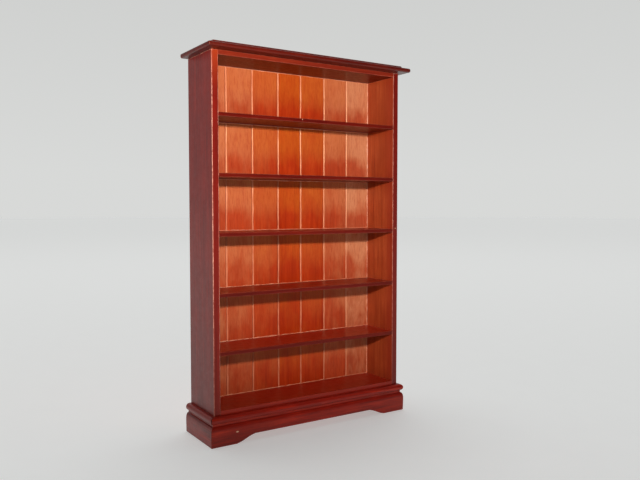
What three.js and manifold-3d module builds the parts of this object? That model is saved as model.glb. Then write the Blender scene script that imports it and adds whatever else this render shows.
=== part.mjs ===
// A dolls' house bookcase at 1:12 scale, in stained and lacquered mahogany-coloured wood.
//
// Millimetres, +Z up. The front of the bookcase faces -Y and its width runs along X. The origin is on the
// floor, under the middle of the whole bookcase, cornice included.
//
// The carcass is two side panels, a carcass top, a bottom board and five shelves. Each board has a tongue at
// both ends, which sits in a stopped housing in the side panel, so that no joint shows at the front. The
// V-grooved back panel stands in a groove in each side panel. A moulded cornice board lies on top. Around
// the base, a mitred bead and a mitred skirting are glued to the outside, with a rear rail and four glue
// blocks behind them. Nothing on the bookcase moves.

import * as THREE from "three";
import { mergeVertices } from "three/addons/utils/BufferGeometryUtils.js";
import Module from "manifold-3d";

const wasm = await Module();
wasm.setup();

// ---- Driving dimensions ----------------------------------------------------------------------------------

// The carcass, without its mouldings.
const CARCASS_WIDTH = 107.5;
const CARCASS_DEPTH = 27.25;
const SIDE_THICKNESS = 3.25;

// Heights above the floor.
const BOTTOM_BOARD_TOP = 16;
const SHELF_TOPS = [43.25, 70.25, 98.25, 125.5, 153];
const CEILING = 178.5;
const CARCASS_HEIGHT = 180.75;
const TOTAL_HEIGHT = 184.25;

// Board thicknesses.
const BOTTOM_BOARD_THICKNESS = 3.25;
const SHELF_THICKNESS = 1.875;

// The housings in the side panels: how deep they are, and how far behind the front edge they stop.
const HOUSING_DEPTH = 1;
const HOUSING_STOP = 3;

// The back panel, in a groove. Its V-grooves are scored by hand, so their spacing is slightly uneven.
const PANEL_THICKNESS = 2.25;
const PANEL_SETBACK = 22.5;
const V_GROOVES = [-36.375, -21.875, -7.0625, 6.4375, 21.1875, 35.875];
const V_GROOVE_WIDTH = 0.875;
const V_GROOVE_DEPTH = 0.5;

// The cornice board and its moulded edge: a lip with a round nose, and a cove up to the flat top.
const CORNICE_FRONT_OVERHANG = 5.75;
const CORNICE_SIDE_OVERHANG = 3.75;
const LIP_THICKNESS = 2.125;
const LIP_NOSE_RADIUS = 0.75;
const LIP_SHELF = 1.25;

// The plinth: a half-round bead over a skirting with an ovolo top, both this proud of the carcass.
const BEAD_TOP = 14;
const BEAD_HEIGHT = 3.5;
const BEAD_PROUD = 2.625;
const SKIRTING_HEIGHT = 10.5;
const SKIRTING_PROUD = 2.625;
const NECK_HEIGHT = 1;
const NECK_PROUD = 1.625;
const OVOLO_HEIGHT = 2.75;

// The bracket feet cut out of the front skirting, joined to the apron by a shallow ogee. OGEE_SWAY is 0 for
// a straight slope and 1 for an ogee that is level at both ends.
const FOOT_WIDTH = 13;
const OGEE_WIDTH = 9.75;
const APRON_HEIGHT = 3.3;
const OGEE_SWAY = 0.35;

// The pieces hidden inside the plinth.
const REAR_RAIL_THICKNESS = 3.25;
const GLUE_BLOCK_SIZE = 5;
const GLUE_BLOCK_LIFT = 0.5;

const CURVE_STEPS = 6;

// ---- Places worked out from them -------------------------------------------------------------------------

const TOTAL_DEPTH = CARCASS_DEPTH + CORNICE_FRONT_OVERHANG;
const REAR = TOTAL_DEPTH / 2;
const FRONT = REAR - CARCASS_DEPTH;
const PANEL_FRONT = FRONT + PANEL_SETBACK;
const PANEL_REAR = PANEL_FRONT + PANEL_THICKNESS;
const OUTER_X = CARCASS_WIDTH / 2;
const INNER_X = OUTER_X - SIDE_THICKNESS;
const HOUSING_X = INNER_X + HOUSING_DEPTH;
const BOTTOM_BOARD_UNDERSIDE = BOTTOM_BOARD_TOP - BOTTOM_BOARD_THICKNESS;

// Every board that spans from side to side, as [name, underside, top].
const SHELVES = SHELF_TOPS.map((top, i) => ["shelf_" + (i + 1), top - SHELF_THICKNESS, top]);
const BOTTOM_BOARD = ["bottom_board", BOTTOM_BOARD_UNDERSIDE, BOTTOM_BOARD_TOP];
const CARCASS_TOP = ["carcass_top", CEILING, CARCASS_HEIGHT];
const CROSS_BOARDS = [BOTTOM_BOARD, ...SHELVES, CARCASS_TOP];

// ---- Materials -------------------------------------------------------------------------------------------

function lacqueredWood(color, roughness) {
  return new THREE.MeshStandardMaterial({ color, roughness, metalness: 0 });
}

const CARCASS_WOOD = lacqueredWood(0x8c2a1c, 0.38);
const SHELF_WOOD = lacqueredWood(0x6f1c14, 0.36);
const PANEL_WOOD = lacqueredWood(0xb9572d, 0.5);
const CORNICE_WOOD = lacqueredWood(0x7d2018, 0.36);
const PLINTH_WOOD = lacqueredWood(0x741d17, 0.36);
const HIDDEN_WOOD = lacqueredWood(0xa9744c, 0.75);

// ---- Building blocks -------------------------------------------------------------------------------------

const root = new THREE.Group();

function addPiece(name, geometry, material) {
  const piece = new THREE.Mesh(geometry, material);
  piece.name = name;
  root.add(piece);
}

// A box between two opposite corners.
function boxBetween([x0, y0, z0], [x1, y1, z1]) {
  const box = new THREE.BoxGeometry(x1 - x0, y1 - y0, z1 - z0);
  return box.translate((x0 + x1) / 2, (y0 + y1) / 2, (z0 + z1) / 2);
}

function outline(points) {
  return new THREE.Shape(points.map(([x, y]) => new THREE.Vector2(x, y)));
}

function extrude(points, length) {
  return new THREE.ExtrudeGeometry(outline(points), { depth: length, bevelEnabled: false });
}

// Turns a geometry so that its own x, y and z run along the three given directions.
function turnTo(geometry, x, y, z) {
  return geometry.applyMatrix4(new THREE.Matrix4().makeBasis(x, y, z));
}

const X = new THREE.Vector3(1, 0, 0);
const Y = new THREE.Vector3(0, 1, 0);
const Z = new THREE.Vector3(0, 0, 1);
const BACKWARDS_X = X.clone().negate();
const BACKWARDS_Y = Y.clone().negate();

function toSolid(geometry) {
  const bare = geometry.clone();
  bare.deleteAttribute("normal");
  bare.deleteAttribute("uv");
  const merged = mergeVertices(bare);
  const mesh = new wasm.Mesh({
    numProp: 3,
    vertProperties: merged.attributes.position.array,
    triVerts: new Uint32Array(merged.index.array),
  });
  return new wasm.Manifold(mesh);
}

function toGeometry(solid) {
  const { vertProperties, triVerts } = solid.getMesh();
  const geometry = new THREE.BufferGeometry();
  geometry.setAttribute("position", new THREE.BufferAttribute(vertProperties, 3));
  geometry.setIndex(new THREE.BufferAttribute(triVerts, 1));
  geometry.computeVertexNormals();
  return geometry;
}

// Points along a quarter ellipse from one point to another. It leaves the first point along the second
// coordinate if alongSecond is true, and along the first coordinate if not.
function quarterRound([a0, b0], [a1, b1], alongSecond) {
  const points = [];
  for (let i = 0; i <= CURVE_STEPS; i++) {
    const turn = (i / CURVE_STEPS) * (Math.PI / 2);
    const rise = Math.sin(turn);
    const ease = 1 - Math.cos(turn);
    const [s, t] = alongSecond ? [ease, rise] : [rise, ease];
    points.push([a0 + (a1 - a0) * s, b0 + (b1 - b0) * t]);
  }
  return points;
}

// ---- Carcass ---------------------------------------------------------------------------------------------

// One side panel: side is -1 for the left and 1 for the right. The housings and the groove for the back
// panel are cut into its inner face.
function sidePanel(side) {
  const span = (a, b) => (side < 0 ? [-b, -a] : [a, b]);
  const [x0, x1] = span(INNER_X, OUTER_X);
  const [cut0, cut1] = span(INNER_X - 1, HOUSING_X);
  let panel = toSolid(boxBetween([x0, FRONT, 0], [x1, REAR, CARCASS_HEIGHT]));
  for (const [name, underside, top] of CROSS_BOARDS) {
    const cutTop = name === "carcass_top" ? top + 1 : top;
    const cutter = boxBetween([cut0, FRONT + HOUSING_STOP, underside], [cut1, PANEL_FRONT, cutTop]);
    panel = panel.subtract(toSolid(cutter));
  }
  const groove = boxBetween(
    [cut0, PANEL_FRONT, BOTTOM_BOARD_UNDERSIDE],
    [cut1, PANEL_REAR, CARCASS_HEIGHT + 1],
  );
  return toGeometry(panel.subtract(toSolid(groove)));
}

// A board from side to side, with its tongues notched at the front where the housings stop.
function crossBoard(underside, top) {
  const points = [
    [-INNER_X, FRONT],
    [INNER_X, FRONT],
    [INNER_X, FRONT + HOUSING_STOP],
    [HOUSING_X, FRONT + HOUSING_STOP],
    [HOUSING_X, PANEL_FRONT],
    [-HOUSING_X, PANEL_FRONT],
    [-HOUSING_X, FRONT + HOUSING_STOP],
    [-INNER_X, FRONT + HOUSING_STOP],
  ];
  return extrude(points, top - underside).translate(0, 0, underside);
}

// The back panel, with its V-grooves on the face that looks into the compartments.
function backPanel() {
  const points = [[-HOUSING_X, PANEL_FRONT]];
  for (const x of V_GROOVES) {
    points.push([x - V_GROOVE_WIDTH / 2, PANEL_FRONT]);
    points.push([x, PANEL_FRONT + V_GROOVE_DEPTH]);
    points.push([x + V_GROOVE_WIDTH / 2, PANEL_FRONT]);
  }
  points.push([HOUSING_X, PANEL_FRONT]);
  points.push([HOUSING_X, PANEL_REAR]);
  points.push([-HOUSING_X, PANEL_REAR]);
  const height = CARCASS_HEIGHT - BOTTOM_BOARD_UNDERSIDE;
  return extrude(points, height).translate(0, 0, BOTTOM_BOARD_UNDERSIDE);
}

addPiece("side_panel_left", sidePanel(-1), CARCASS_WOOD);
addPiece("side_panel_right", sidePanel(1), CARCASS_WOOD);
addPiece("carcass_top", crossBoard(CEILING, CARCASS_HEIGHT), CARCASS_WOOD);
addPiece("bottom_board", crossBoard(BOTTOM_BOARD_UNDERSIDE, BOTTOM_BOARD_TOP), SHELF_WOOD);
for (const [name, underside, top] of SHELVES) {
  addPiece(name, crossBoard(underside, top), SHELF_WOOD);
}
addPiece("back_panel", backPanel(), PANEL_WOOD);

// ---- Cornice ---------------------------------------------------------------------------------------------

// The moulded edge from the underside up to the flat top, as [distance in from the nose, height].
function corniceEdge() {
  const lipTop = CARCASS_HEIGHT + LIP_THICKNESS;
  const noseBottom = CARCASS_HEIGHT + LIP_NOSE_RADIUS;
  const noseTop = lipTop - LIP_NOSE_RADIUS;
  const coveFoot = LIP_NOSE_RADIUS + LIP_SHELF;
  const coveRise = TOTAL_HEIGHT - lipTop;
  return [
    ...quarterRound([LIP_NOSE_RADIUS, CARCASS_HEIGHT], [0, noseBottom], false),
    ...quarterRound([0, noseTop], [LIP_NOSE_RADIUS, lipTop], true),
    ...quarterRound([coveFoot, lipTop], [coveFoot + coveRise, TOTAL_HEIGHT], false),
  ];
}

// The board is where two long mouldings cross: one moulded along its front, the other along both sides.
function corniceBoard() {
  const halfWidth = OUTER_X + CORNICE_SIDE_OVERHANG;
  const edge = corniceEdge();
  const frontSection = [
    [REAR, CARCASS_HEIGHT],
    [REAR, TOTAL_HEIGHT],
    ...edge.map(([inset, z]) => [-REAR + inset, z]).reverse(),
  ];
  const sideSection = [
    ...edge.map(([inset, z]) => [halfWidth - inset, z]),
    ...edge.map(([inset, z]) => [-halfWidth + inset, z]).reverse(),
  ];
  const alongFront = turnTo(extrude(frontSection, 2 * halfWidth), Y, Z, X);
  const alongSides = turnTo(extrude(sideSection, TOTAL_DEPTH), X, Z, BACKWARDS_Y);
  const front = toSolid(alongFront.translate(-halfWidth, 0, 0));
  const sides = toSolid(alongSides.translate(0, REAR, 0));
  return toGeometry(front.intersect(sides));
}

addPiece("cornice_board", corniceBoard(), CORNICE_WOOD);

// ---- Plinth ----------------------------------------------------------------------------------------------

// The bead's section, as [distance out from the carcass, height]: a half-round on a flat back.
function beadSection() {
  const radius = BEAD_HEIGHT / 2;
  const middle = BEAD_TOP - radius;
  const straight = BEAD_PROUD - radius;
  return [
    [0, BEAD_TOP - BEAD_HEIGHT],
    ...quarterRound([straight, BEAD_TOP - BEAD_HEIGHT], [BEAD_PROUD, middle], false),
    ...quarterRound([BEAD_PROUD, middle], [straight, BEAD_TOP], true).slice(1),
    [0, BEAD_TOP],
  ];
}

// The skirting's section: a flat face, an ovolo above it and a narrow neck under the bead.
function skirtingSection() {
  const neckFoot = SKIRTING_HEIGHT - NECK_HEIGHT;
  return [
    [0, 0],
    [SKIRTING_PROUD, 0],
    ...quarterRound([SKIRTING_PROUD, neckFoot - OVOLO_HEIGHT], [NECK_PROUD, neckFoot], true),
    [NECK_PROUD, SKIRTING_HEIGHT],
    [0, SKIRTING_HEIGHT],
  ];
}

// A moulding that runs along X and faces -Y, with its flat back on y = 0. Each mitred end is cut at 45
// degrees, so that the face is longer than the back.
function moulding(section, length, mitreLow, mitreHigh) {
  const strip = turnTo(extrude(section, length), BACKWARDS_Y, Z, BACKWARDS_X).translate(length / 2, 0, 0);
  const position = strip.attributes.position;
  for (let i = 0; i < position.count; i++) {
    const proud = -position.getY(i);
    const x = position.getX(i);
    if (x < 0 && mitreLow) position.setX(i, x - proud);
    if (x > 0 && mitreHigh) position.setX(i, x + proud);
  }
  return strip;
}

function frontMoulding(section) {
  return moulding(section, CARCASS_WIDTH, true, true).translate(0, FRONT, 0);
}

// A side moulding is mitred at its front end and square at the rear.
function sideMoulding(section, side) {
  const strip = moulding(section, CARCASS_DEPTH, side > 0, side < 0);
  return strip.rotateZ((side * Math.PI) / 2).translate(side * OUTER_X, (FRONT + REAR) / 2, 0);
}

// The space under the apron, between the bracket feet.
function apronCutter() {
  const footX = OUTER_X + SKIRTING_PROUD - FOOT_WIDTH;
  const ogee = [];
  for (let i = 0; i <= 2 * CURVE_STEPS; i++) {
    const along = i / (2 * CURVE_STEPS);
    const sway = (OGEE_SWAY * Math.sin(2 * Math.PI * along)) / (2 * Math.PI);
    ogee.push([footX - OGEE_WIDTH * along, APRON_HEIGHT * (along - sway)]);
  }
  const points = [
    [footX, -1],
    ...ogee,
    ...ogee.map(([x, z]) => [-x, z]).reverse(),
    [-footX, -1],
  ];
  const depth = SKIRTING_PROUD + 2;
  return turnTo(extrude(points, depth), X, Z, BACKWARDS_Y).translate(0, FRONT + 1, 0);
}

function frontSkirting() {
  const strip = toSolid(frontMoulding(skirtingSection()));
  return toGeometry(strip.subtract(toSolid(apronCutter())));
}

addPiece("base_bead_front", frontMoulding(beadSection()), PLINTH_WOOD);
addPiece("base_bead_left", sideMoulding(beadSection(), -1), PLINTH_WOOD);
addPiece("base_bead_right", sideMoulding(beadSection(), 1), PLINTH_WOOD);
addPiece("skirting_front", frontSkirting(), PLINTH_WOOD);
addPiece("skirting_left", sideMoulding(skirtingSection(), -1), PLINTH_WOOD);
addPiece("skirting_right", sideMoulding(skirtingSection(), 1), PLINTH_WOOD);

// ---- Inside the plinth -----------------------------------------------------------------------------------

// The rear rail closes the plinth between the side panels, under the back panel.
function rearRail() {
  const railFront = REAR - REAR_RAIL_THICKNESS;
  return boxBetween([-INNER_X, railFront, 0], [INNER_X, REAR, BOTTOM_BOARD_UNDERSIDE]);
}

// A square stick glued into a corner under the bottom board.
function glueBlock(side, frontY) {
  const xs = [side * INNER_X, side * (INNER_X - GLUE_BLOCK_SIZE)].sort((a, b) => a - b);
  return boxBetween(
    [xs[0], frontY, GLUE_BLOCK_LIFT],
    [xs[1], frontY + GLUE_BLOCK_SIZE, BOTTOM_BOARD_UNDERSIDE],
  );
}

addPiece("rear_rail", rearRail(), HIDDEN_WOOD);
const REAR_BLOCK_FRONT = REAR - REAR_RAIL_THICKNESS - GLUE_BLOCK_SIZE;
for (const [sideName, side] of [["left", -1], ["right", 1]]) {
  addPiece("glue_block_front_" + sideName, glueBlock(side, FRONT), HIDDEN_WOOD);
  addPiece("glue_block_rear_" + sideName, glueBlock(side, REAR_BLOCK_FRONT), HIDDEN_WOOD);
}

export default root;
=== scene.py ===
"""A dolls' house bookcase at 1:12 scale, in red mahogany stain and satin lacquer.

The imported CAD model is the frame. Every visible piece is a finer mesh in the same place as its CAD node:
boards with eased edges, mouldings with round sections and mitred corners, a back panel scored by hand, and
the glue left in its corners. Everything is in metres, +Z up, with the open front facing -Y.
"""

import math

import bmesh
import bpy
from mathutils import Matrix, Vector, noise


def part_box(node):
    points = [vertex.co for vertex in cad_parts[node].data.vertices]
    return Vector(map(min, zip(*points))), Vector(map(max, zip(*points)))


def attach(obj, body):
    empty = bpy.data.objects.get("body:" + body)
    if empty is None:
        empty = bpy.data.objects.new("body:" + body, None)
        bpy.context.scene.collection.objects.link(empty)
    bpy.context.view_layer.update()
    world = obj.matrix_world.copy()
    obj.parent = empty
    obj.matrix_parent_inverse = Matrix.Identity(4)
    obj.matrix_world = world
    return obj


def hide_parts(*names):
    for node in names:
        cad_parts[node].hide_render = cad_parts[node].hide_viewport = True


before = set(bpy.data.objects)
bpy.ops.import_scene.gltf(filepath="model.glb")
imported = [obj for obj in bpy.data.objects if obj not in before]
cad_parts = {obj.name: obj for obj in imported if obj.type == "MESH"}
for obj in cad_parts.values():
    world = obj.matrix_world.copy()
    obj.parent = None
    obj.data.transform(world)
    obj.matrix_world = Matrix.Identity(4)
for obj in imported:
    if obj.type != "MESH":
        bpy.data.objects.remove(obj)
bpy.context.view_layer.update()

MM = 0.001
scene = bpy.context.scene


# ---- Places from the frame -------------------------------------------------------------------------------

left_low, left_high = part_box("side_panel_left")
right_low, right_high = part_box("side_panel_right")
panel_low, panel_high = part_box("back_panel")
cornice_low, cornice_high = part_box("cornice_board")
bead_low, bead_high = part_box("base_bead_front")
skirting_low, skirting_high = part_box("skirting_front")

FRONT = left_low.y
REAR = left_high.y
OUTER_X = right_high.x
INNER_X = right_low.x
PANEL_FRONT = panel_low.y
SHELF_NAMES = ["shelf_1", "shelf_2", "shelf_3", "shelf_4", "shelf_5"]


# ---- Camera ----------------------------------------------------------------------------------------------

CAMERA_PLACE = (-0.1823, -0.2972, 0.1101)
CAMERA_YAW = math.radians(33.06)
CAMERA_PITCH = math.radians(-2.78)
# The focal length in millimetres, for Blender's own sensor.
CAMERA_LENS = 38.6


def make_camera():
    data = bpy.data.cameras.new("camera")
    data.lens = CAMERA_LENS
    camera = bpy.data.objects.new("camera", data)
    camera.location = CAMERA_PLACE
    camera.rotation_euler = (math.pi / 2 + CAMERA_PITCH, 0, -CAMERA_YAW)
    scene.collection.objects.link(camera)
    scene.camera = camera


make_camera()


# ---- Node helpers ----------------------------------------------------------------------------------------

def color(red, green, blue):
    return (red, green, blue, 1.0)


BARE_WOOD = color(0.70, 0.42, 0.27)
# How fine the ragged outline of a chip is, as the scale of its noise.
CHIP_RAGGEDNESS = 3000.0


class Graph:
    """The node tree of a material or a world, with short calls to add nodes and join them."""

    def __init__(self, owner):
        owner.use_nodes = True
        self.owner = owner
        self.tree = owner.node_tree
        self.shader = self.tree.nodes.get("Principled BSDF")

    def put(self, socket, value):
        if isinstance(value, bpy.types.NodeSocket):
            self.tree.links.new(value, socket)
        else:
            socket.default_value = value

    def give(self, name, value):
        """Sets or joins one of the surface shader's own inputs."""
        self.put(self.shader.inputs[name], value)

    def node(self, kind, inputs=(), **settings):
        made = self.tree.nodes.new("ShaderNode" + kind)
        for key, value in settings.items():
            setattr(made, key, value)
        for key, value in dict(inputs).items():
            self.put(made.inputs[key], value)
        return made

    def math(self, operation, a, b=0.0, clamp=False):
        made = self.node("Math", {0: a, 1: b}, operation=operation, use_clamp=clamp)
        return made.outputs[0]

    def times(self, a, b):
        return self.math("MULTIPLY", a, b)

    def span(self, value, low, high, to_low=0.0, to_high=1.0):
        inputs = {"Value": value, "From Min": low, "From Max": high, "To Min": to_low, "To Max": to_high}
        return self.node("MapRange", inputs, clamp=True).outputs["Result"]

    def mix(self, factor, a, b):
        made = self.node("Mix", data_type="RGBA", blend_type="MIX", clamp_factor=True)
        self.put(made.inputs[0], factor)
        self.put(made.inputs[6], a)
        self.put(made.inputs[7], b)
        return made.outputs[2]

    def place(self, scale, shift=(0.0, 0.0, 0.0)):
        """The object's own coordinates, scaled along each axis and shifted."""
        coords = self.node("TexCoord").outputs["Object"]
        inputs = {"Vector": coords, "Scale": scale, "Location": shift}
        return self.node("Mapping", inputs).outputs["Vector"]

    def noise(self, vector, scale, detail=4.0, roughness=0.55, distortion=0.0):
        inputs = {
            "Vector": vector,
            "Scale": scale,
            "Detail": detail,
            "Roughness": roughness,
            "Distortion": distortion,
        }
        return self.node("TexNoise", inputs).outputs["Fac"]

    def attribute(self, name):
        return self.node("Attribute", attribute_name=name).outputs["Fac"]

    def coordinate(self, axis):
        """One of the object's own coordinates, in metres."""
        coords = self.node("TexCoord").outputs["Object"]
        return self.node("SeparateXYZ", {"Vector": coords}).outputs[axis]

    def overlay(self, factor, tint):
        """Lays a colour over the base colour so far."""
        so_far = self.shader.inputs["Base Color"].links[0].from_socket
        self.give("Base Color", self.mix(factor, so_far, tint))

    def chip(self, place, radius, length=1.0):
        """A tiny ragged spot of bare wood, which may be longer than it is high."""
        coords = self.node("TexCoord").outputs["Object"]
        offset = self.node("VectorMath", {0: coords, 1: place}, operation="SUBTRACT").outputs["Vector"]
        inputs = {0: offset, 1: (1.0 / length, 1.0, 1.0)}
        round_offset = self.node("VectorMath", inputs, operation="MULTIPLY").outputs["Vector"]
        away = self.node("VectorMath", {0: round_offset}, operation="LENGTH").outputs["Value"]
        ragged = self.times(self.noise(coords, CHIP_RAGGEDNESS), radius)
        self.overlay(self.span(self.math("ADD", away, ragged), radius * 1.5, radius * 1.1), BARE_WOOD)


# ---- Lacquered wood --------------------------------------------------------------------------------------

# The coordinates are scaled by these along the fibres, which draws the grain's features out.
FIBRE_SQUEEZE = 0.045
PORE_SQUEEZE = 0.09
# How fine each noise is: about this many features to a metre across the grain.
FIBRE_RATE = 1500.0
BAND_RATE = 260.0
PORE_RATE = 5200.0
MOTTLE_RATE = 95.0
PATCH_RATE = 420.0

LACQUER_SPECULAR = 0.30
LACQUER_TINT = color(1.0, 0.80, 0.66)
COAT_ROUGHNESS = 0.22
RELIEF_STRENGTH = 0.25
RELIEF_DEPTH = 0.06 * MM
# The edges are worn this far in, and less so low down.
WEAR_RADIUS = 0.5 * MM
WEAR_LOW = 0.010
WEAR_HIGH = 0.080
LOW_WEAR = 0.30


def along_fibres(axis, squeeze):
    return tuple(squeeze if letter == axis else 1.0 for letter in "XYZ")


def worn_edges(graph, patchy):
    """1 on the arrises, where the lacquer is rubbed thin, and 0 on the flats, broken up by a noise."""
    round_normal = graph.node("Bevel", {"Radius": WEAR_RADIUS}, samples=6).outputs["Normal"]
    true_normal = graph.node("NewGeometry").outputs["Normal"]
    dot = graph.node("VectorMath", {0: round_normal, 1: true_normal}, operation="DOT_PRODUCT")
    edge = graph.math("MAXIMUM", graph.span(dot.outputs["Value"], 0.995, 0.86), graph.attribute("arris"))
    return graph.times(edge, graph.span(patchy, 0.38, 0.62, 0.30, 1.0))


def wood(name, fibre, dark, mid, light, worn, roughness=0.36, coat=0.12, wear=0.8, shift=(0.0, 0.0, 0.0)):
    """Stained and lacquered wood, with its grain along one axis."""
    graph = Graph(bpy.data.materials.new(name))
    fibre_coords = graph.place(along_fibres(fibre, FIBRE_SQUEEZE), shift)
    pore_coords = graph.place(along_fibres(fibre, PORE_SQUEEZE), shift)
    open_coords = graph.place((1.0, 1.0, 1.0), shift)

    fibres = graph.noise(fibre_coords, FIBRE_RATE, 6.0, 0.62, 0.4)
    bands = graph.noise(fibre_coords, BAND_RATE, 3.0, 0.5, 1.1)
    pores = graph.noise(pore_coords, PORE_RATE, 2.0, 0.5)
    mottle = graph.noise(open_coords, MOTTLE_RATE, 4.0, 0.6)
    patchy = graph.noise(open_coords, PATCH_RATE, 4.0, 0.65)

    # A noise stays near 0.5, so the ramp from dark to light covers only its middle.
    tone = graph.math("ADD", graph.times(fibres, 0.5), graph.times(bands, 0.5))
    ramp = graph.node("ValToRGB", {"Fac": tone})
    ramp.color_ramp.elements[0].position = 0.36
    ramp.color_ramp.elements[0].color = dark
    ramp.color_ramp.elements[1].position = 0.64
    ramp.color_ramp.elements[1].color = light
    ramp.color_ramp.elements.new(0.5).color = mid
    stain = graph.mix(graph.span(mottle, 0.35, 0.7, 0.0, 0.45), ramp.outputs["Color"], dark)
    stain = graph.mix(graph.span(pores, 0.63, 0.72, 0.0, 0.5), stain, dark)

    high_wear = graph.span(graph.coordinate("Z"), WEAR_LOW, WEAR_HIGH, LOW_WEAR, 1.0)
    edge = graph.times(worn_edges(graph, patchy), graph.times(high_wear, wear))
    graph.give("Base Color", graph.mix(edge, stain, worn))

    graph.give("Roughness", graph.span(patchy, 0.3, 0.7, roughness - 0.05, roughness + 0.07))
    graph.give("Specular IOR Level", LACQUER_SPECULAR)
    graph.give("Specular Tint", LACQUER_TINT)
    graph.give("Coat Weight", coat)
    graph.give("Coat Roughness", COAT_ROUGHNESS)

    relief = graph.math("SUBTRACT", fibres, graph.span(pores, 0.6, 0.72, 0.0, 0.6))
    inputs = {"Height": relief, "Strength": RELIEF_STRENGTH, "Distance": RELIEF_DEPTH}
    graph.give("Normal", graph.node("Bump", inputs).outputs["Normal"])
    return graph


# ---- Stains ----------------------------------------------------------------------------------------------

# Each stain is the dark, middle and light tone of its grain.
CARCASS_STAIN = [color(0.12, 0.003, 0.0015), color(0.19, 0.0055, 0.0022), color(0.25, 0.010, 0.004)]
INSIDE_STAIN = [color(0.26, 0.030, 0.008), color(0.38, 0.055, 0.014), color(0.48, 0.085, 0.024)]
TOP_STAIN = [color(0.15, 0.009, 0.003), color(0.22, 0.017, 0.005), color(0.29, 0.031, 0.009)]
SHELF_STAIN = [color(0.19, 0.007, 0.003), color(0.30, 0.012, 0.0045), color(0.39, 0.022, 0.007)]
# The undersides' stain is darker as painted shade.
UNDER_PAINTED_SHADE = [color(0.11, 0.003, 0.0015), color(0.16, 0.005, 0.002), color(0.21, 0.009, 0.003)]
EDGE_STAIN = [color(0.08, 0.002, 0.001), color(0.125, 0.004, 0.0015), color(0.17, 0.008, 0.002)]
CORNICE_STAIN = [color(0.06, 0.002, 0.001), color(0.105, 0.004, 0.0015), color(0.15, 0.008, 0.002)]
PLINTH_STAIN = [color(0.13, 0.0035, 0.0015), color(0.29, 0.009, 0.003), color(0.45, 0.022, 0.006)]
PANEL_STAIN = [color(0.32, 0.017, 0.002), color(0.43, 0.029, 0.003), color(0.53, 0.045, 0.006)]
PLAIN_WOOD = [color(0.42, 0.24, 0.12), color(0.55, 0.34, 0.18), color(0.62, 0.42, 0.25)]
GLUE_STAIN = [color(0.55, 0.16, 0.08), color(0.70, 0.28, 0.17), color(0.80, 0.40, 0.28)]

WORN_RED = color(0.64, 0.21, 0.13)
STILE_WORN = color(0.78, 0.36, 0.27)
PLAIN_WORN = color(0.7, 0.5, 0.3)
# Painted highlight for the top of the left stile.
STILE_PAINTED_HIGHLIGHT = color(0.44, 0.050, 0.010)
INSIDE_RED = color(0.30, 0.024, 0.012)
# Painted light for the tops of the lowest shelves.
LOW_SHELF_PAINTED_LIGHT = color(0.50, 0.025, 0.009)
CORNICE_SHEEN = color(0.96, 0.88, 0.66)
PANEL_SHEEN = color(1.0, 0.74, 0.42)
# The colour of the panel's paler upper parts, partly painted light falloff.
PANEL_LIGHT = color(0.50, 0.086, 0.008)
# Painted light for the back panel's boards.
PAINTED_BOARD_LIGHT = color(0.64, 0.25, 0.125)
# Scraped wood with a painted glint, for the grooves' right flanks.
GROOVE_SCRAPED_AND_GLINT = color(0.77, 0.31, 0.18)
# Painted shade for the grooves' left shoulders.
GROOVE_PAINTED_SHADE = color(0.16, 0.012, 0.004)
# How much painted light each of the back panel's boards gets, from left to right: the flash's sheen on the
# left boards and its reflection off the right wall onto the rightmost one.
BOARD_PAINTED_LIGHT = [0.52, 0.38, 0.14, 0.0, 0.05, 0.44, 1.0]

# The heights between which the top of the left stile turns paler: a painted highlight, where the flash
# lights it most.
STILE_HIGHLIGHT_FROM = 0.163
STILE_HIGHLIGHT_FULL = 0.180
# The heights between which the painted light on the lowest boards' tops ends.
LOW_SHELVES_FULL = 0.045
LOW_SHELVES_END = 0.062
# A place well to one side of the middle, where what differs from side to side is at its full strength.
SIDEWAYS = 0.04

STILE_CHIP = (OUTER_X - 1.4 * MM, FRONT, 0.0985)
SHELF_CHIP = (-0.006, FRONT, 0.1525)
SKIRTING_CHIP = (-0.0432, skirting_low.y, 0.0058)


# ---- Materials -------------------------------------------------------------------------------------------

def behind_front(graph, none, full):
    """A factor that goes from 0 to 1 between two distances behind the bookcase's front."""
    return graph.span(graph.coordinate("Y"), FRONT + none, FRONT + full)


def stile_material():
    """The side panels outside and in front.

    The left one's front edge is paler at its top, a painted highlight, and the right one is darker all
    over.
    """
    graph = wood("carcass_upright", "Z", *CARCASS_STAIN, STILE_WORN, wear=1.0)
    # Painted highlight: the top of the left stile's front is paler where the flash lights it most.
    high = graph.span(graph.coordinate("Z"), STILE_HIGHLIGHT_FROM, STILE_HIGHLIGHT_FULL)
    left = graph.span(graph.coordinate("X"), 0.0, -SIDEWAYS)
    front = behind_front(graph, 1.5 * MM, 0.5 * MM)
    pale_and_painted_light = graph.times(graph.times(high, left), front)
    graph.overlay(graph.times(pale_and_painted_light, 0.6), STILE_PAINTED_HIGHLIGHT)
    right = graph.span(graph.coordinate("X"), 0.0, SIDEWAYS)
    graph.overlay(graph.times(right, 0.45), CARCASS_STAIN[0])
    graph.chip(STILE_CHIP, 0.30 * MM)
    return graph.owner


def inside_material():
    """The sides' inner faces: the lighter stain of the inside, redder towards the front."""
    graph = wood("carcass_inside", "Z", *INSIDE_STAIN, WORN_RED, wear=0.5, shift=(0.4, 0.2, 0.5))
    forward = behind_front(graph, 9.0 * MM, 2.0 * MM)
    graph.overlay(graph.times(forward, 0.6), INSIDE_RED)
    return graph.owner


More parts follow.
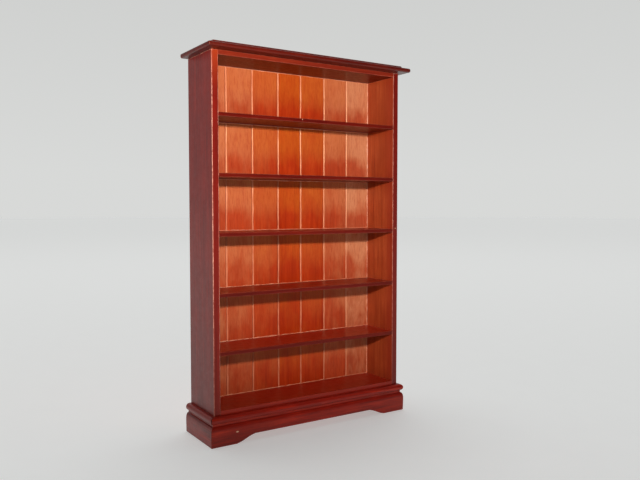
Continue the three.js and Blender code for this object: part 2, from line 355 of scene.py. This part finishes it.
def stain_and_light_the_boards(graph):
    """The panel: paler in the upper part of each compartment, with painted light falloff, and painted light
    on some boards.
    """
    cloudy = graph.noise(graph.place((1.0, 1.0, 0.5), (0.1, 0.0, 0.3)), 130.0, 3.0)
    streaky = graph.noise(graph.place((1.0, 1.0, 0.16), (0.6, 0.0, 0.1)), 900.0, 4.0, 0.7)
    uneven = graph.span(cloudy, 0.3, 0.7, -0.30, 0.30)
    # Painted light falloff: the panel is paler higher up, most in the higher compartments, where the flash
    # lights it more.
    paler_higher_up = graph.math("ADD", graph.attribute("paleness_and_painted_falloff"), uneven, clamp=True)
    graph.overlay(graph.times(paler_higher_up, graph.span(streaky, 0.3, 0.6, 0.55, 1.0)), PANEL_LIGHT)
    # Painted light on the boards, strongest on the panel's end boards.
    tone = graph.times(graph.attribute("board_painted_light"), graph.span(cloudy, 0.3, 0.7, 0.7, 1.0))
    graph.overlay(graph.times(tone, graph.span(paler_higher_up, 0.0, 0.6, 0.32, 1.0)), PAINTED_BOARD_LIGHT)
    figure = graph.noise(graph.place((1.0, 1.0, 0.12), (0.2, 0.0, 0.7)), 2100.0, 5.0, 0.7)
    graph.overlay(graph.span(figure, 0.47, 0.66, 0.0, 0.42), PANEL_STAIN[0])


def scrape_glint_and_shade_grooves(graph):
    """The scored grooves: pale and shinier where they were scraped, with a painted glint, and painted shade
    in their left shoulder.
    """
    speckle = graph.noise(graph.place((1.0, 1.0, 0.2)), 900.0, 3.0)
    # Pale: scraped wood, and a painted glint where the right flank faces the flash.
    pale = graph.times(graph.attribute("groove_scraped_and_glint"), graph.span(speckle, 0.35, 0.6, 0.45, 1.0))
    graph.overlay(pale, GROOVE_SCRAPED_AND_GLINT)
    dull = graph.shader.inputs["Roughness"].links[0].from_socket
    shine = graph.times(graph.attribute("groove_scraped_and_glint"), 0.20)
    graph.give("Roughness", graph.math("SUBTRACT", dull, shine))
    # Painted shade in the left shoulder, which faces away from the flash.
    graph.overlay(graph.attribute("groove_painted_shade"), GROOVE_PAINTED_SHADE)


def panel_material():
    """The back panel: thinly lacquered, with painted light on some boards, and pale scored grooves with
    painted glint and shade.
    """
    graph = wood("panel_wood", "Z", *PANEL_STAIN, WORN_RED, roughness=0.42, coat=0.0, wear=0.0)
    graph.give("Specular Tint", PANEL_SHEEN)
    stain_and_light_the_boards(graph)
    scrape_glint_and_shade_grooves(graph)
    return graph.owner


def shelf_edge_material():
    """The front edges of the shelves: dark and dull, with one small chip."""
    graph = wood("shelf_edge", "X", *EDGE_STAIN, WORN_RED, coat=0.04, wear=0.18, shift=(0.6, 0.1, 0.8))
    graph.give("Specular IOR Level", 0.18)
    graph.chip(SHELF_CHIP, 0.26 * MM)
    return graph.owner


def skirting_material():
    """The mouldings along the front of the plinth, with one small chip in the skirting's face."""
    graph = wood("plinth_across", "X", *PLINTH_STAIN, WORN_RED, wear=0.4, shift=(0.2, 0.6, 0.4))
    graph.chip(SKIRTING_CHIP, 0.40 * MM, 1.9)
    return graph.owner


def shelf_material():
    """The tops of the shelves. The lowest two boards are paler, apart from their front edges: painted
    light, where the flash lights their tops.
    """
    graph = wood("shelf_wood", "X", *SHELF_STAIN, WORN_RED, wear=0.3, shift=(0.9, 0.4, 0.2))
    # Painted light: the lowest two boards' tops are paler, where the flash lights them.
    low = graph.span(graph.coordinate("Z"), LOW_SHELVES_END, LOW_SHELVES_FULL, 0.0, 0.6)
    behind = behind_front(graph, 0.4 * MM, 1.5 * MM)
    graph.overlay(graph.times(low, behind), LOW_SHELF_PAINTED_LIGHT)
    return graph.owner


def shaded_under_material():
    """The undersides of the shelves: duller than their tops, and darker as painted shade."""
    graph = wood("shelf_under_painted_shade", "X", *UNDER_PAINTED_SHADE, WORN_RED, coat=0.0, wear=0.1, shift=(0.8, 0.3, 0.6))
    graph.give("Specular IOR Level", 0.12)
    return graph.owner


def cornice_material():
    """The cornice: the darkest stain, with a less red sheen."""
    graph = wood("cornice_wood", "X", *CORNICE_STAIN, WORN_RED, wear=0.6, shift=(0.5, 0.8, 0.1))
    graph.give("Specular Tint", CORNICE_SHEEN)
    return graph.owner


carcass_upright = stile_material()
carcass_inside = inside_material()
panel_wood = panel_material()
shelf_edge = shelf_edge_material()
plinth_across = skirting_material()
carcass_across = wood("carcass_across", "X", *TOP_STAIN, WORN_RED, wear=0.2, shift=(0.3, 0.1, 0.7)).owner
shelf_wood = shelf_material()
shelf_under_painted_shade = shaded_under_material()
cornice_wood = cornice_material()
plinth_along = wood("plinth_along", "Y", *PLINTH_STAIN, WORN_RED, wear=0.3, shift=(0.7, 0.2, 0.9)).owner
plain_wood = wood("plain_wood", "X", *PLAIN_WOOD, PLAIN_WORN, roughness=0.7, coat=0.0).owner
glue = wood("glue", "X", *GLUE_STAIN, WORN_RED, roughness=0.4, wear=0.0, shift=(0.1, 0.5, 0.3)).owner


# ---- Mesh helpers ----------------------------------------------------------------------------------------

SHARP = math.radians(35)


def finish_mesh(bm, name, material, smooth):
    """Writes a bmesh to a new object. Smooth pieces keep their edges crisp where they turn sharply."""
    bmesh.ops.recalc_face_normals(bm, faces=bm.faces)
    for face in bm.faces:
        face.smooth = smooth
    for edge in bm.edges:
        edge.smooth = not (smooth and edge.is_manifold and edge.calc_face_angle() > SHARP)
    mesh = bpy.data.meshes.new(name)
    bm.to_mesh(mesh)
    bm.free()
    mesh.materials.append(material)
    made = bpy.data.objects.new(name, mesh)
    scene.collection.objects.link(made)
    return made


def stand_in(piece, node):
    """The piece rides on the one body and takes the place of a CAD node."""
    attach(piece, "root")
    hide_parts(node)
    return piece


def loft(rings):
    """A closed body through rings of points, all with the same number of points."""
    bm = bmesh.new()
    rows = [[bm.verts.new(point) for point in ring] for ring in rings]
    count = len(rings[0])
    for low, high in zip(rows, rows[1:]):
        for i in range(count):
            j = (i + 1) % count
            bm.faces.new((low[i], low[j], high[j], high[i]))
    bm.faces.new(rows[0][::-1])
    bm.faces.new(rows[-1])
    return bm


def arc(center, radius, start, end, steps):
    """Points round part of a circle, with angles in degrees."""
    points = []
    for i in range(steps + 1):
        angle = math.radians(start + (end - start) * i / steps)
        points.append((center[0] + radius * math.cos(angle), center[1] + radius * math.sin(angle)))
    return points


# ---- Boards ----------------------------------------------------------------------------------------------

EASE = 0.25 * MM
TOUCH = 0.01 * MM
# Deeper than the side panels' housings, but less than the panels' thickness.
PAST_HOUSINGS = 2 * MM


def node_bmesh(node):
    """The CAD node's own solid, with its flat faces made whole again."""
    bm = bmesh.new()
    bm.from_mesh(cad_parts[node].data)
    bmesh.ops.remove_doubles(bm, verts=bm.verts, dist=TOUCH)
    bmesh.ops.dissolve_limit(bm, angle_limit=math.radians(1), verts=bm.verts, edges=bm.edges)
    return bm


def planes_of(point, low, high):
    """Which of the box's six planes the point lies on."""
    found = set()
    for axis in range(3):
        if abs(point[axis] - low[axis]) < TOUCH:
            found.add((axis, "low"))
        if abs(point[axis] - high[axis]) < TOUCH:
            found.add((axis, "high"))
    return found


def eased_board(node, material, front_only):
    """A board with rounded arrises: all of its outer ones, or only those along its front edge."""
    low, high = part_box(node)
    bm = node_bmesh(node)
    arris = bm.faces.layers.float.new("arris")
    chosen = []
    for edge in bm.edges:
        a, b = (planes_of(vert.co, low, high) for vert in edge.verts)
        shared = a & b
        if len(shared) == 2 and (not front_only or (1, "low") in shared):
            chosen.append(edge)
    rounded = bmesh.ops.bevel(bm, geom=chosen, offset=EASE, segments=3, profile=0.5, affect="EDGES")
    for face in rounded["faces"]:
        face[arris] = 1.0
    return stand_in(finish_mesh(bm, node + "_board", material, False), node)


def restain(board, material, chosen):
    """Gives another stain to the faces of a board that pass a test."""
    board.data.materials.append(material)
    for face in board.data.polygons:
        if chosen(face):
            face.material_index = len(board.data.materials) - 1


def faces_forward(face):
    return face.normal.y < -0.5


def faces_down(face):
    return face.normal.z < -0.8


def lines_the_inside(face):
    """Whether a side panel's face looks into the bookcase. Those at the bottom of its housings do too."""
    looks_inward = abs(face.normal.x) > 0.9 and face.normal.x * face.center.x < 0
    return looks_inward and abs(face.center.x) < INNER_X + PAST_HOUSINGS


def make_boards():
    for side in ("left", "right"):
        board = eased_board("side_panel_" + side, carcass_upright, False)
        restain(board, carcass_inside, lines_the_inside)
    restain(eased_board("carcass_top", carcass_across, True), shelf_under_painted_shade, faces_down)
    eased_board("bottom_board", shelf_wood, True)
    for shelf in SHELF_NAMES:
        board = eased_board(shelf, shelf_wood, True)
        restain(board, shelf_edge, faces_forward)
        restain(board, shelf_under_painted_shade, faces_down)
    eased_board("rear_rail", plain_wood, False)
    for corner in ("front_left", "front_right", "rear_left", "rear_right"):
        eased_board("glue_block_" + corner, plain_wood, False)


make_boards()


# ---- Back panel ------------------------------------------------------------------------------------------

GROOVE_HALF = 0.44 * MM
GROOVE_DEPTH = 0.5 * MM
GROOVE_SWAY = 0.20 * MM
ROW_STEP = 1.2 * MM
# Each point across a groove: its distance from the middle in half widths, its depth in groove depths, how
# pale it is and how dark. The pale is scraped wood with a painted glint on the right flank, which faces the
# flash; the dark is painted shade on the left flank. The shoulder on the right is worn round.
GROOVE_SHAPE = [
    (-1.6, 0.0, 0.0, 0.0),
    (-1.3, 0.0, 0.0, 0.0),
    (-1.05, 0.0, 0.0, 0.3),
    (-0.75, 0.15, 0.0, 0.65),
    (-0.3, 0.9, 0.25, 0.4),
    (0.05, 0.95, 0.7, 0.0),
    (0.45, 0.5, 0.85, 0.0),
    (0.8, 0.2, 0.85, 0.0),
    (1.15, 0.05, 0.6, 0.0),
    (1.5, 0.0, 0.0, 0.0),
    (1.8, 0.0, 0.0, 0.0),
]
# How pale the grooves' lower ends are, next to their upper ends: painted light falloff, as the flash lights
# them less low down.
LOW_GROOVE_PAINTED_LIGHT = 0.6


def groove_places():
    """The middle of each groove, from the CAD panel's own vertices at the bottom of its V-grooves."""
    bottoms = set()
    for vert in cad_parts["back_panel"].data.vertices:
        depth = vert.co.y - panel_low.y
        if abs(depth - GROOVE_DEPTH) < TOUCH:
            bottoms.add(round(vert.co.x / MM, 3))
    return [x * MM for x in sorted(bottoms)]


COMPARTMENT_FLOORS = [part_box(name)[1].z for name in ["bottom_board", *SHELF_NAMES]]
COMPARTMENT_CEILINGS = [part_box(name)[0].z for name in [*SHELF_NAMES, "carcass_top"]]
# How pale the upper part of each compartment gets, from the lowest one to the highest: painted light
# falloff, as the flash lights the lower compartments less.
PALEST_AND_PAINTED_FALLOFF = [0.35, 0.48, 0.60, 0.78, 1.0, 1.0]
# The panel is dark in this part of a compartment's height, and gets paler over the next part.
DARK_PART = 0.15
PALING_PART = 0.55
REAR_PALENESS = 0.2


def paleness_and_painted_falloff(z):
    """How pale the panel is at a height: dark just above a shelf, pale in a compartment's upper part, with
    painted light falloff lower down.
    """
    for floor, ceiling, thinnest in zip(COMPARTMENT_FLOORS, COMPARTMENT_CEILINGS, PALEST_AND_PAINTED_FALLOFF):
        if z <= ceiling:
            rise = (z - floor) / (ceiling - floor)
            step = min(1.0, max(0.0, (rise - DARK_PART) / PALING_PART))
            return thinnest * step * step * (3 - 2 * step)
    return 1.0


def panel_ring(z, grooves):
    """One level of the panel, as (point, pale, dark, tone) for each point."""
    height = (z - panel_low.z) / (panel_high.z - panel_low.z)
    # Painted light falloff: the grooves get less pale lower down.
    groove_light_falloff = LOW_GROOVE_PAINTED_LIGHT + (1.0 - LOW_GROOVE_PAINTED_LIGHT) * height
    ring = [((panel_low.x, panel_low.y, z), 0.0, 0.0, BOARD_PAINTED_LIGHT[0])]
    # Each groove sways and changes in width and depth, at rates of its own.
    for index, middle in enumerate(grooves):
        sway = GROOVE_SWAY * noise.noise(Vector((index * 7.3, z * 45.0, 0.4)))
        width = GROOVE_HALF * (1.0 + 0.40 * noise.noise(Vector((index * 3.1, z * 160.0, 5.0))))
        depth = GROOVE_DEPTH * (0.85 + 0.3 * noise.noise(Vector((index * 5.7, z * 120.0, 9.0))))
        for across, down, pale, dark in GROOVE_SHAPE:
            tone = BOARD_PAINTED_LIGHT[index if across < 0 else index + 1]
            point = (middle + sway + across * width, panel_low.y + down * depth, z)
            ring.append((point, pale * groove_light_falloff, dark, tone))
    ring.append(((panel_high.x, panel_low.y, z), 0.0, 0.0, BOARD_PAINTED_LIGHT[-1]))
    ring.append(((panel_high.x, panel_high.y, z), 0.0, 0.0, 0.0))
    ring.append(((panel_low.x, panel_high.y, z), 0.0, 0.0, 0.0))
    return ring


def make_back_panel():
    rows = round((panel_high.z - panel_low.z) / ROW_STEP)
    grooves = groove_places()
    levels = [panel_low.z + (panel_high.z - panel_low.z) * i / rows for i in range(rows + 1)]
    rings = [panel_ring(z, grooves) for z in levels]
    bm = loft([[entry[0] for entry in ring] for ring in rings])
    names = ["groove_scraped_and_glint", "groove_painted_shade", "board_painted_light", "paleness_and_painted_falloff"]
    layers = [bm.verts.layers.float.new(name) for name in names]
    bm.verts.ensure_lookup_table()
    entries = [entry for ring in rings for entry in ring]
    for vert, (point, pale, dark, tone) in zip(bm.verts, entries):
        # How pale the panel is at each point's height, with painted light falloff; the rear face gets a
        # fixed value.
        pale_and_painted_light = paleness_and_painted_falloff(point[2]) if point[1] < panel_high.y - TOUCH else REAR_PALENESS
        for layer, value in zip(layers, (pale, dark, tone, pale_and_painted_light)):
            vert[layer] = value
    return stand_in(finish_mesh(bm, "back_panel_scored", panel_wood, True), "back_panel")


make_back_panel()


# ---- Glue in the corners ---------------------------------------------------------------------------------

GLUE_STEP = 0.6 * MM
GLUE_SIZE = 0.42 * MM
GLUE_LEAST = 0.25
GLUE_BURIED = 0.04 * MM
# Where the middle of the glue's face lies, which makes it a little hollow.
GLUE_HOLLOW = 0.36


def glue_line(name, start, end, out_a, out_b, seed):
    """An uneven bead of glue along a corner. It spreads from the corner along two directions."""
    start, end, out_a, out_b = (Vector(value) for value in (start, end, out_a, out_b))
    count = max(2, round((end - start).length / GLUE_STEP))
    buried = -(out_a + out_b) * GLUE_BURIED
    rings = []
    # The bead swells slowly, with quicker drops on top of that.
    for i in range(count + 1):
        spot = start.lerp(end, i / count) + buried
        along = i * GLUE_STEP / MM
        swell = 0.75 + 0.55 * noise.noise(Vector((seed, along * 0.35, 0.0)))
        drop = 0.3 * noise.noise(Vector((seed, along * 1.4, 4.0)))
        size = GLUE_SIZE * max(GLUE_LEAST, swell + drop) + GLUE_BURIED
        middle = (out_a + out_b) * size * GLUE_HOLLOW
        rings.append([spot, spot + out_a * size, spot + middle, spot + out_b * size])
    piece = finish_mesh(loft(rings), name, glue, True)
    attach(piece, "root")


def glue_the_corners():
    """Glue squeezed out round the panel's edges in each compartment. Each line has a seed of its own."""
    for index, (floor, ceiling) in enumerate(zip(COMPARTMENT_FLOORS, COMPARTMENT_CEILINGS)):
        low_left = (-INNER_X, PANEL_FRONT, floor)
        low_right = (INNER_X, PANEL_FRONT, floor)
        high_left = (-INNER_X, PANEL_FRONT, ceiling)
        high_right = (INNER_X, PANEL_FRONT, ceiling)
        number = str(index + 1)
        glue_line("glue_foot_" + number, low_left, low_right, (0, -1, 0), (0, 0, 1), index * 3.7)
        glue_line("glue_head_" + number, high_left, high_right, (0, -1, 0), (0, 0, -1), index * 2.9 + 20)
        glue_line("glue_left_" + number, low_left, high_left, (0, -1, 0), (1, 0, 0), index * 5.1 + 40)
        glue_line("glue_right_" + number, low_right, high_right, (0, -1, 0), (-1, 0, 0), index * 4.3 + 80)


glue_the_corners()


# ---- Cornice ---------------------------------------------------------------------------------------------

LIP_THICKNESS = 2.125 * MM
NOSE_RADIUS = 0.75 * MM
LIP_SHELF = 1.25 * MM
CORNER_RADIUS = 0.35 * MM
TOP_EASE = 0.06 * MM


def cornice_edge():
    """The moulded edge from the underside to the flat top, as (distance in from the nose, height)."""
    bottom = cornice_low.z
    lip_top = bottom + LIP_THICKNESS
    cove = cornice_high.z - lip_top
    foot = NOSE_RADIUS + LIP_SHELF
    points = arc((NOSE_RADIUS, bottom + NOSE_RADIUS), NOSE_RADIUS, 270, 180, 6)
    points += arc((NOSE_RADIUS, lip_top - NOSE_RADIUS), NOSE_RADIUS, 180, 90, 6)
    points += arc((foot, cornice_high.z), cove, 270, 345, 8)
    points += [(foot + cove * 1.08, cornice_high.z - TOP_EASE), (foot + cove * 1.3, cornice_high.z)]
    return points


def cornice_ring(inset, z):
    """One level of the cornice board: square at the rear, with slightly worn front corners."""
    x = cornice_high.x - inset
    y = cornice_low.y + inset
    turn = CORNER_RADIUS
    right = arc((x - turn, y + turn), turn, 0, -90, 4)
    left = arc((-x + turn, y + turn), turn, 270, 180, 4)
    outline = [(x, cornice_high.y), *right, *left, (-x, cornice_high.y)]
    return [(px, py, z) for px, py in outline]


def make_cornice():
    bm = loft([cornice_ring(inset, z) for inset, z in cornice_edge()])
    stand_in(finish_mesh(bm, "cornice_moulded", cornice_wood, True), "cornice_board")


make_cornice()


# ---- Plinth mouldings ------------------------------------------------------------------------------------

BEAD_PROUD = FRONT - bead_low.y
SKIRTING_PROUD = FRONT - skirting_low.y
# The skirting's face is upright just under the ovolo, and leans in a little towards its foot. The neck is
# cut in behind the ovolo's top.
FACE_LEAN = 0.12 * MM
FACE_UPRIGHT = 1.5 * MM
NECK_PROUD = 1.55 * MM
NECK_CUT = 0.2 * MM
NECK_RISE = 0.15 * MM
NECK_HEIGHT = 1.0 * MM
OVOLO_HEIGHT = 2.75 * MM
OVOLO_STEPS = 10
BOTTOM_EASE = 0.25 * MM
# Each foot is at least this long, and the apron's lower edge lies below this level.
FOOT_LEAST = 5 * MM
APRON_MOST = 5 * MM
# The gap left at each front mitre, at the left and the right end.
BEAD_GAPS = {-1: 0.50 * MM, 1: 0.12 * MM}
SKIRTING_GAPS = {-1: 0.10 * MM, 1: 0.05 * MM}


def bead_section():
    """The half-round bead, as (distance out from the carcass, height)."""
    radius = (bead_high.z - bead_low.z) / 2
    middle = bead_low.z + radius
    return [(0.0, bead_low.z), *arc((BEAD_PROUD - radius, middle), radius, -90, 90, 20), (0.0, bead_high.z)]


def skirting_section(bottom):
    """The skirting above a given level: an eased lower arris, a flat face, an ovolo and a neck."""
    neck_foot = skirting_high.z - NECK_HEIGHT
    ovolo_foot = neck_foot - OVOLO_HEIGHT
    ovolo = []
    for i in range(OVOLO_STEPS + 1):
        angle = math.pi / 2 * i / OVOLO_STEPS
        out = NECK_PROUD + (SKIRTING_PROUD - NECK_PROUD) * math.cos(angle)
        ovolo.append((out, ovolo_foot + OVOLO_HEIGHT * math.sin(angle)))
    return [
        (0.0, bottom),
        (SKIRTING_PROUD - FACE_LEAN - BOTTOM_EASE, bottom),
        (SKIRTING_PROUD - FACE_LEAN, bottom + BOTTOM_EASE),
        (SKIRTING_PROUD, ovolo_foot - FACE_UPRIGHT),
        *ovolo,
        (NECK_PROUD - NECK_CUT, neck_foot + NECK_RISE),
        (NECK_PROUD - NECK_CUT, skirting_high.z),
        (0.0, skirting_high.z),
    ]


def front_rings(section_at, stations, gaps):
    """Rings of a moulding along the front. Both of its ends are mitred, less half the gap."""
    rings = []
    for x in stations:
        end = 0 if abs(x) < OUTER_X - TOUCH else int(math.copysign(1, x))
        short = gaps[end] / 2 if end else 0.0
        rings.append([(x + end * (out - short), FRONT - out, z) for out, z in section_at(x)])
    return rings


def side_rings(section, side, gaps):
    """Rings of a moulding along one side, mitred at its front end and square at the rear."""
    short = gaps[side] / 2
    front = [(side * (OUTER_X + out), FRONT - out + short, z) for out, z in section]
    rear = [(side * (OUTER_X + out), REAR, z) for out, z in section]
    return [front, rear]


def apron_outline():
    """The lower edge of the front skirting between its feet, from the CAD solid: the height at each x."""
    heights = {}
    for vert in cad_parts["skirting_front"].data.vertices:
        if abs(vert.co.x) < OUTER_X - FOOT_LEAST and vert.co.z < APRON_MOST:
            x = round(vert.co.x / MM, 3)
            heights[x] = vert.co.z
    return sorted((x * MM, z) for x, z in heights.items())


def make_plinth():
    apron = apron_outline()
    stations = [-OUTER_X, *[x for x, _ in apron], OUTER_X]
    level = dict(apron)
    bm = loft(front_rings(lambda x: bead_section(), [-OUTER_X, OUTER_X], BEAD_GAPS))
    stand_in(finish_mesh(bm, "bead_front", plinth_across, True), "base_bead_front")
    rings = front_rings(lambda x: skirting_section(level.get(x, 0.0)), stations, SKIRTING_GAPS)
    piece = finish_mesh(loft(rings), "skirting_front_bracketed", plinth_across, True)
    stand_in(piece, "skirting_front")
    for name, side in (("left", -1), ("right", 1)):
        bm = loft(side_rings(bead_section(), side, BEAD_GAPS))
        piece = finish_mesh(bm, "bead_" + name, plinth_along, True)
        stand_in(piece, "base_bead_" + name)
        bm = loft(side_rings(skirting_section(0.0), side, SKIRTING_GAPS))
        piece = finish_mesh(bm, "skirting_" + name + "_moulded", plinth_along, True)
        stand_in(piece, "skirting_" + name)


make_plinth()


# ---- Floor -----------------------------------------------------------------------------------------------

PAPER = (0.745, 0.752, 0.742)
PAPER_UNEVENNESS = 0.015
PAPER_REACH = 7.0
PAPER_DROP = 0.02 * MM
# How strongly the paper glows near the bookcase and far from it, where it runs into the pale background. It
# is halfway from one to the other at GLOW_REACH.
GLOW_NEAR = 0.50
GLOW_FAR = 0.712
GLOW_REACH = 1.15


def paper_material():
    """Pale paper with a painted glow, which stands in for the room's light on it, more so in the distance.
    """
    graph = Graph(bpy.data.materials.new("paper"))
    coords = graph.node("TexCoord").outputs["Object"]
    tooth = graph.noise(coords, 60.0, 3.0)
    darker = color(*[value * (1 - PAPER_UNEVENNESS) for value in PAPER])
    lighter = color(*[value * (1 + PAPER_UNEVENNESS) for value in PAPER])
    paper = graph.mix(tooth, darker, lighter)
    graph.give("Base Color", paper)
    graph.give("Emission Color", paper)
    away = graph.node("VectorMath", {0: coords}, operation="LENGTH").outputs["Value"]
    squared = graph.math("POWER", graph.math("DIVIDE", away, GLOW_REACH), 2.0)
    nearness = graph.math("DIVIDE", 1.0, graph.math("ADD", squared, 1.0))
    graph.give("Emission Strength", graph.span(nearness, 0.0, 1.0, GLOW_FAR, GLOW_NEAR))
    graph.give("Roughness", 0.9)
    graph.give("Specular IOR Level", 0.0)
    return graph.owner


def make_floor():
    """A wide disc of paper, just under the bookcase's feet."""
    bm = bmesh.new()
    bmesh.ops.create_circle(bm, cap_ends=True, segments=96, radius=PAPER_REACH)
    mesh = bpy.data.meshes.new("floor")
    bm.to_mesh(mesh)
    bm.free()
    mesh.materials.append(paper_material())
    floor = bpy.data.objects.new("floor", mesh)
    floor.location.z = -PAPER_DROP
    scene.collection.objects.link(floor)
    return floor


# ---- Light -----------------------------------------------------------------------------------------------

FLASH_PLACE = (-0.182, -0.3047, 0.1746)
FLASH_TARGET = (0.005, 0.0, 0.155)
FLASH_RADIUS = 0.010
FLASH_ENERGY = 6.0
FLASH_CONE = math.radians(60)
FLASH_TINT = (1.0, 0.96, 0.87)

OVERHEAD_PLACE = (0.1, 0.25, 1.6)
OVERHEAD_TARGET = (0.3, 0.5, 0.0)
OVERHEAD_SIZE = 1.0
OVERHEAD_ENERGY = 6.0

# How bright the room is on the camera's side and behind the bookcase. It changes from one to the other
# between two cosines of the angle from straight behind.
DIM_ROOM = 0.05
BACK_WALL = 0.62
DIM_COSINE = -0.1
WALL_COSINE = 0.9
ROOM_TINT = color(0.97, 0.99, 1.0)
# The camera sees this instead. It gets a little darker upwards, between two sines of the angle upwards.
BACKDROP = color(0.685, 0.693, 0.683)
BACKDROP_TOP = 0.91
PALE_SINE = 0.05
TOP_SINE = 0.30


def aim(light, place, target):
    """Places a light, turns it to its target and keeps the lamp itself out of sight."""
    light.location = place
    direction = Vector(target) - Vector(place)
    light.rotation_euler = direction.to_track_quat("-Z", "Y").to_euler()
    light.visible_camera = False
    scene.collection.objects.link(light)


def make_flash(skipped):
    """A small light just above the camera. It lights the bookcase and skips the paper."""
    data = bpy.data.lights.new("flash", "SPOT")
    data.shadow_soft_size = FLASH_RADIUS
    data.energy = FLASH_ENERGY
    data.spot_size = FLASH_CONE
    data.spot_blend = 1.0
    data.color = FLASH_TINT
    flash = bpy.data.objects.new("flash", data)
    aim(flash, FLASH_PLACE, FLASH_TARGET)
    others = bpy.data.collections.new("flash_skips")
    others.objects.link(skipped)
    flash.light_linking.receiver_collection = others
    others.collection_objects[0].light_linking.link_state = "EXCLUDE"


def make_overhead():
    """A broad soft light above and behind, for the paper and the bookcase's top."""
    data = bpy.data.lights.new("overhead", "AREA")
    data.shape = "DISK"
    data.size = OVERHEAD_SIZE
    data.energy = OVERHEAD_ENERGY
    aim(bpy.data.objects.new("overhead", data), OVERHEAD_PLACE, OVERHEAD_TARGET)


def make_world():
    """A pale wall behind the bookcase lights it. The room is dim on the other side, but looks pale."""
    world = bpy.data.worlds.new("studio")
    graph = Graph(world)
    direction = graph.node("TexCoord").outputs["Generated"]
    inputs = {0: direction, 1: (math.sin(CAMERA_YAW), math.cos(CAMERA_YAW), 0.0)}
    behind = graph.node("VectorMath", inputs, operation="DOT_PRODUCT").outputs["Value"]
    room = graph.tree.nodes["Background"]
    graph.put(room.inputs["Color"], ROOM_TINT)
    graph.put(room.inputs["Strength"], graph.span(behind, DIM_COSINE, WALL_COSINE, DIM_ROOM, BACK_WALL))
    height = graph.node("SeparateXYZ", {"Vector": direction}).outputs["Z"]
    fall = graph.span(height, PALE_SINE, TOP_SINE, 1.0, BACKDROP_TOP)
    pale = graph.node("Background", {"Color": BACKDROP, "Strength": fall})
    seen = graph.node("LightPath").outputs["Is Camera Ray"]
    inputs = {0: seen, 1: room.outputs["Background"], 2: pale.outputs["Background"]}
    mixed = graph.node("MixShader", inputs).outputs["Shader"]
    graph.put(graph.tree.nodes["World Output"].inputs["Surface"], mixed)
    scene.world = world


make_flash(make_floor())
make_overhead()
make_world()

scene.view_settings.view_transform = "Standard"
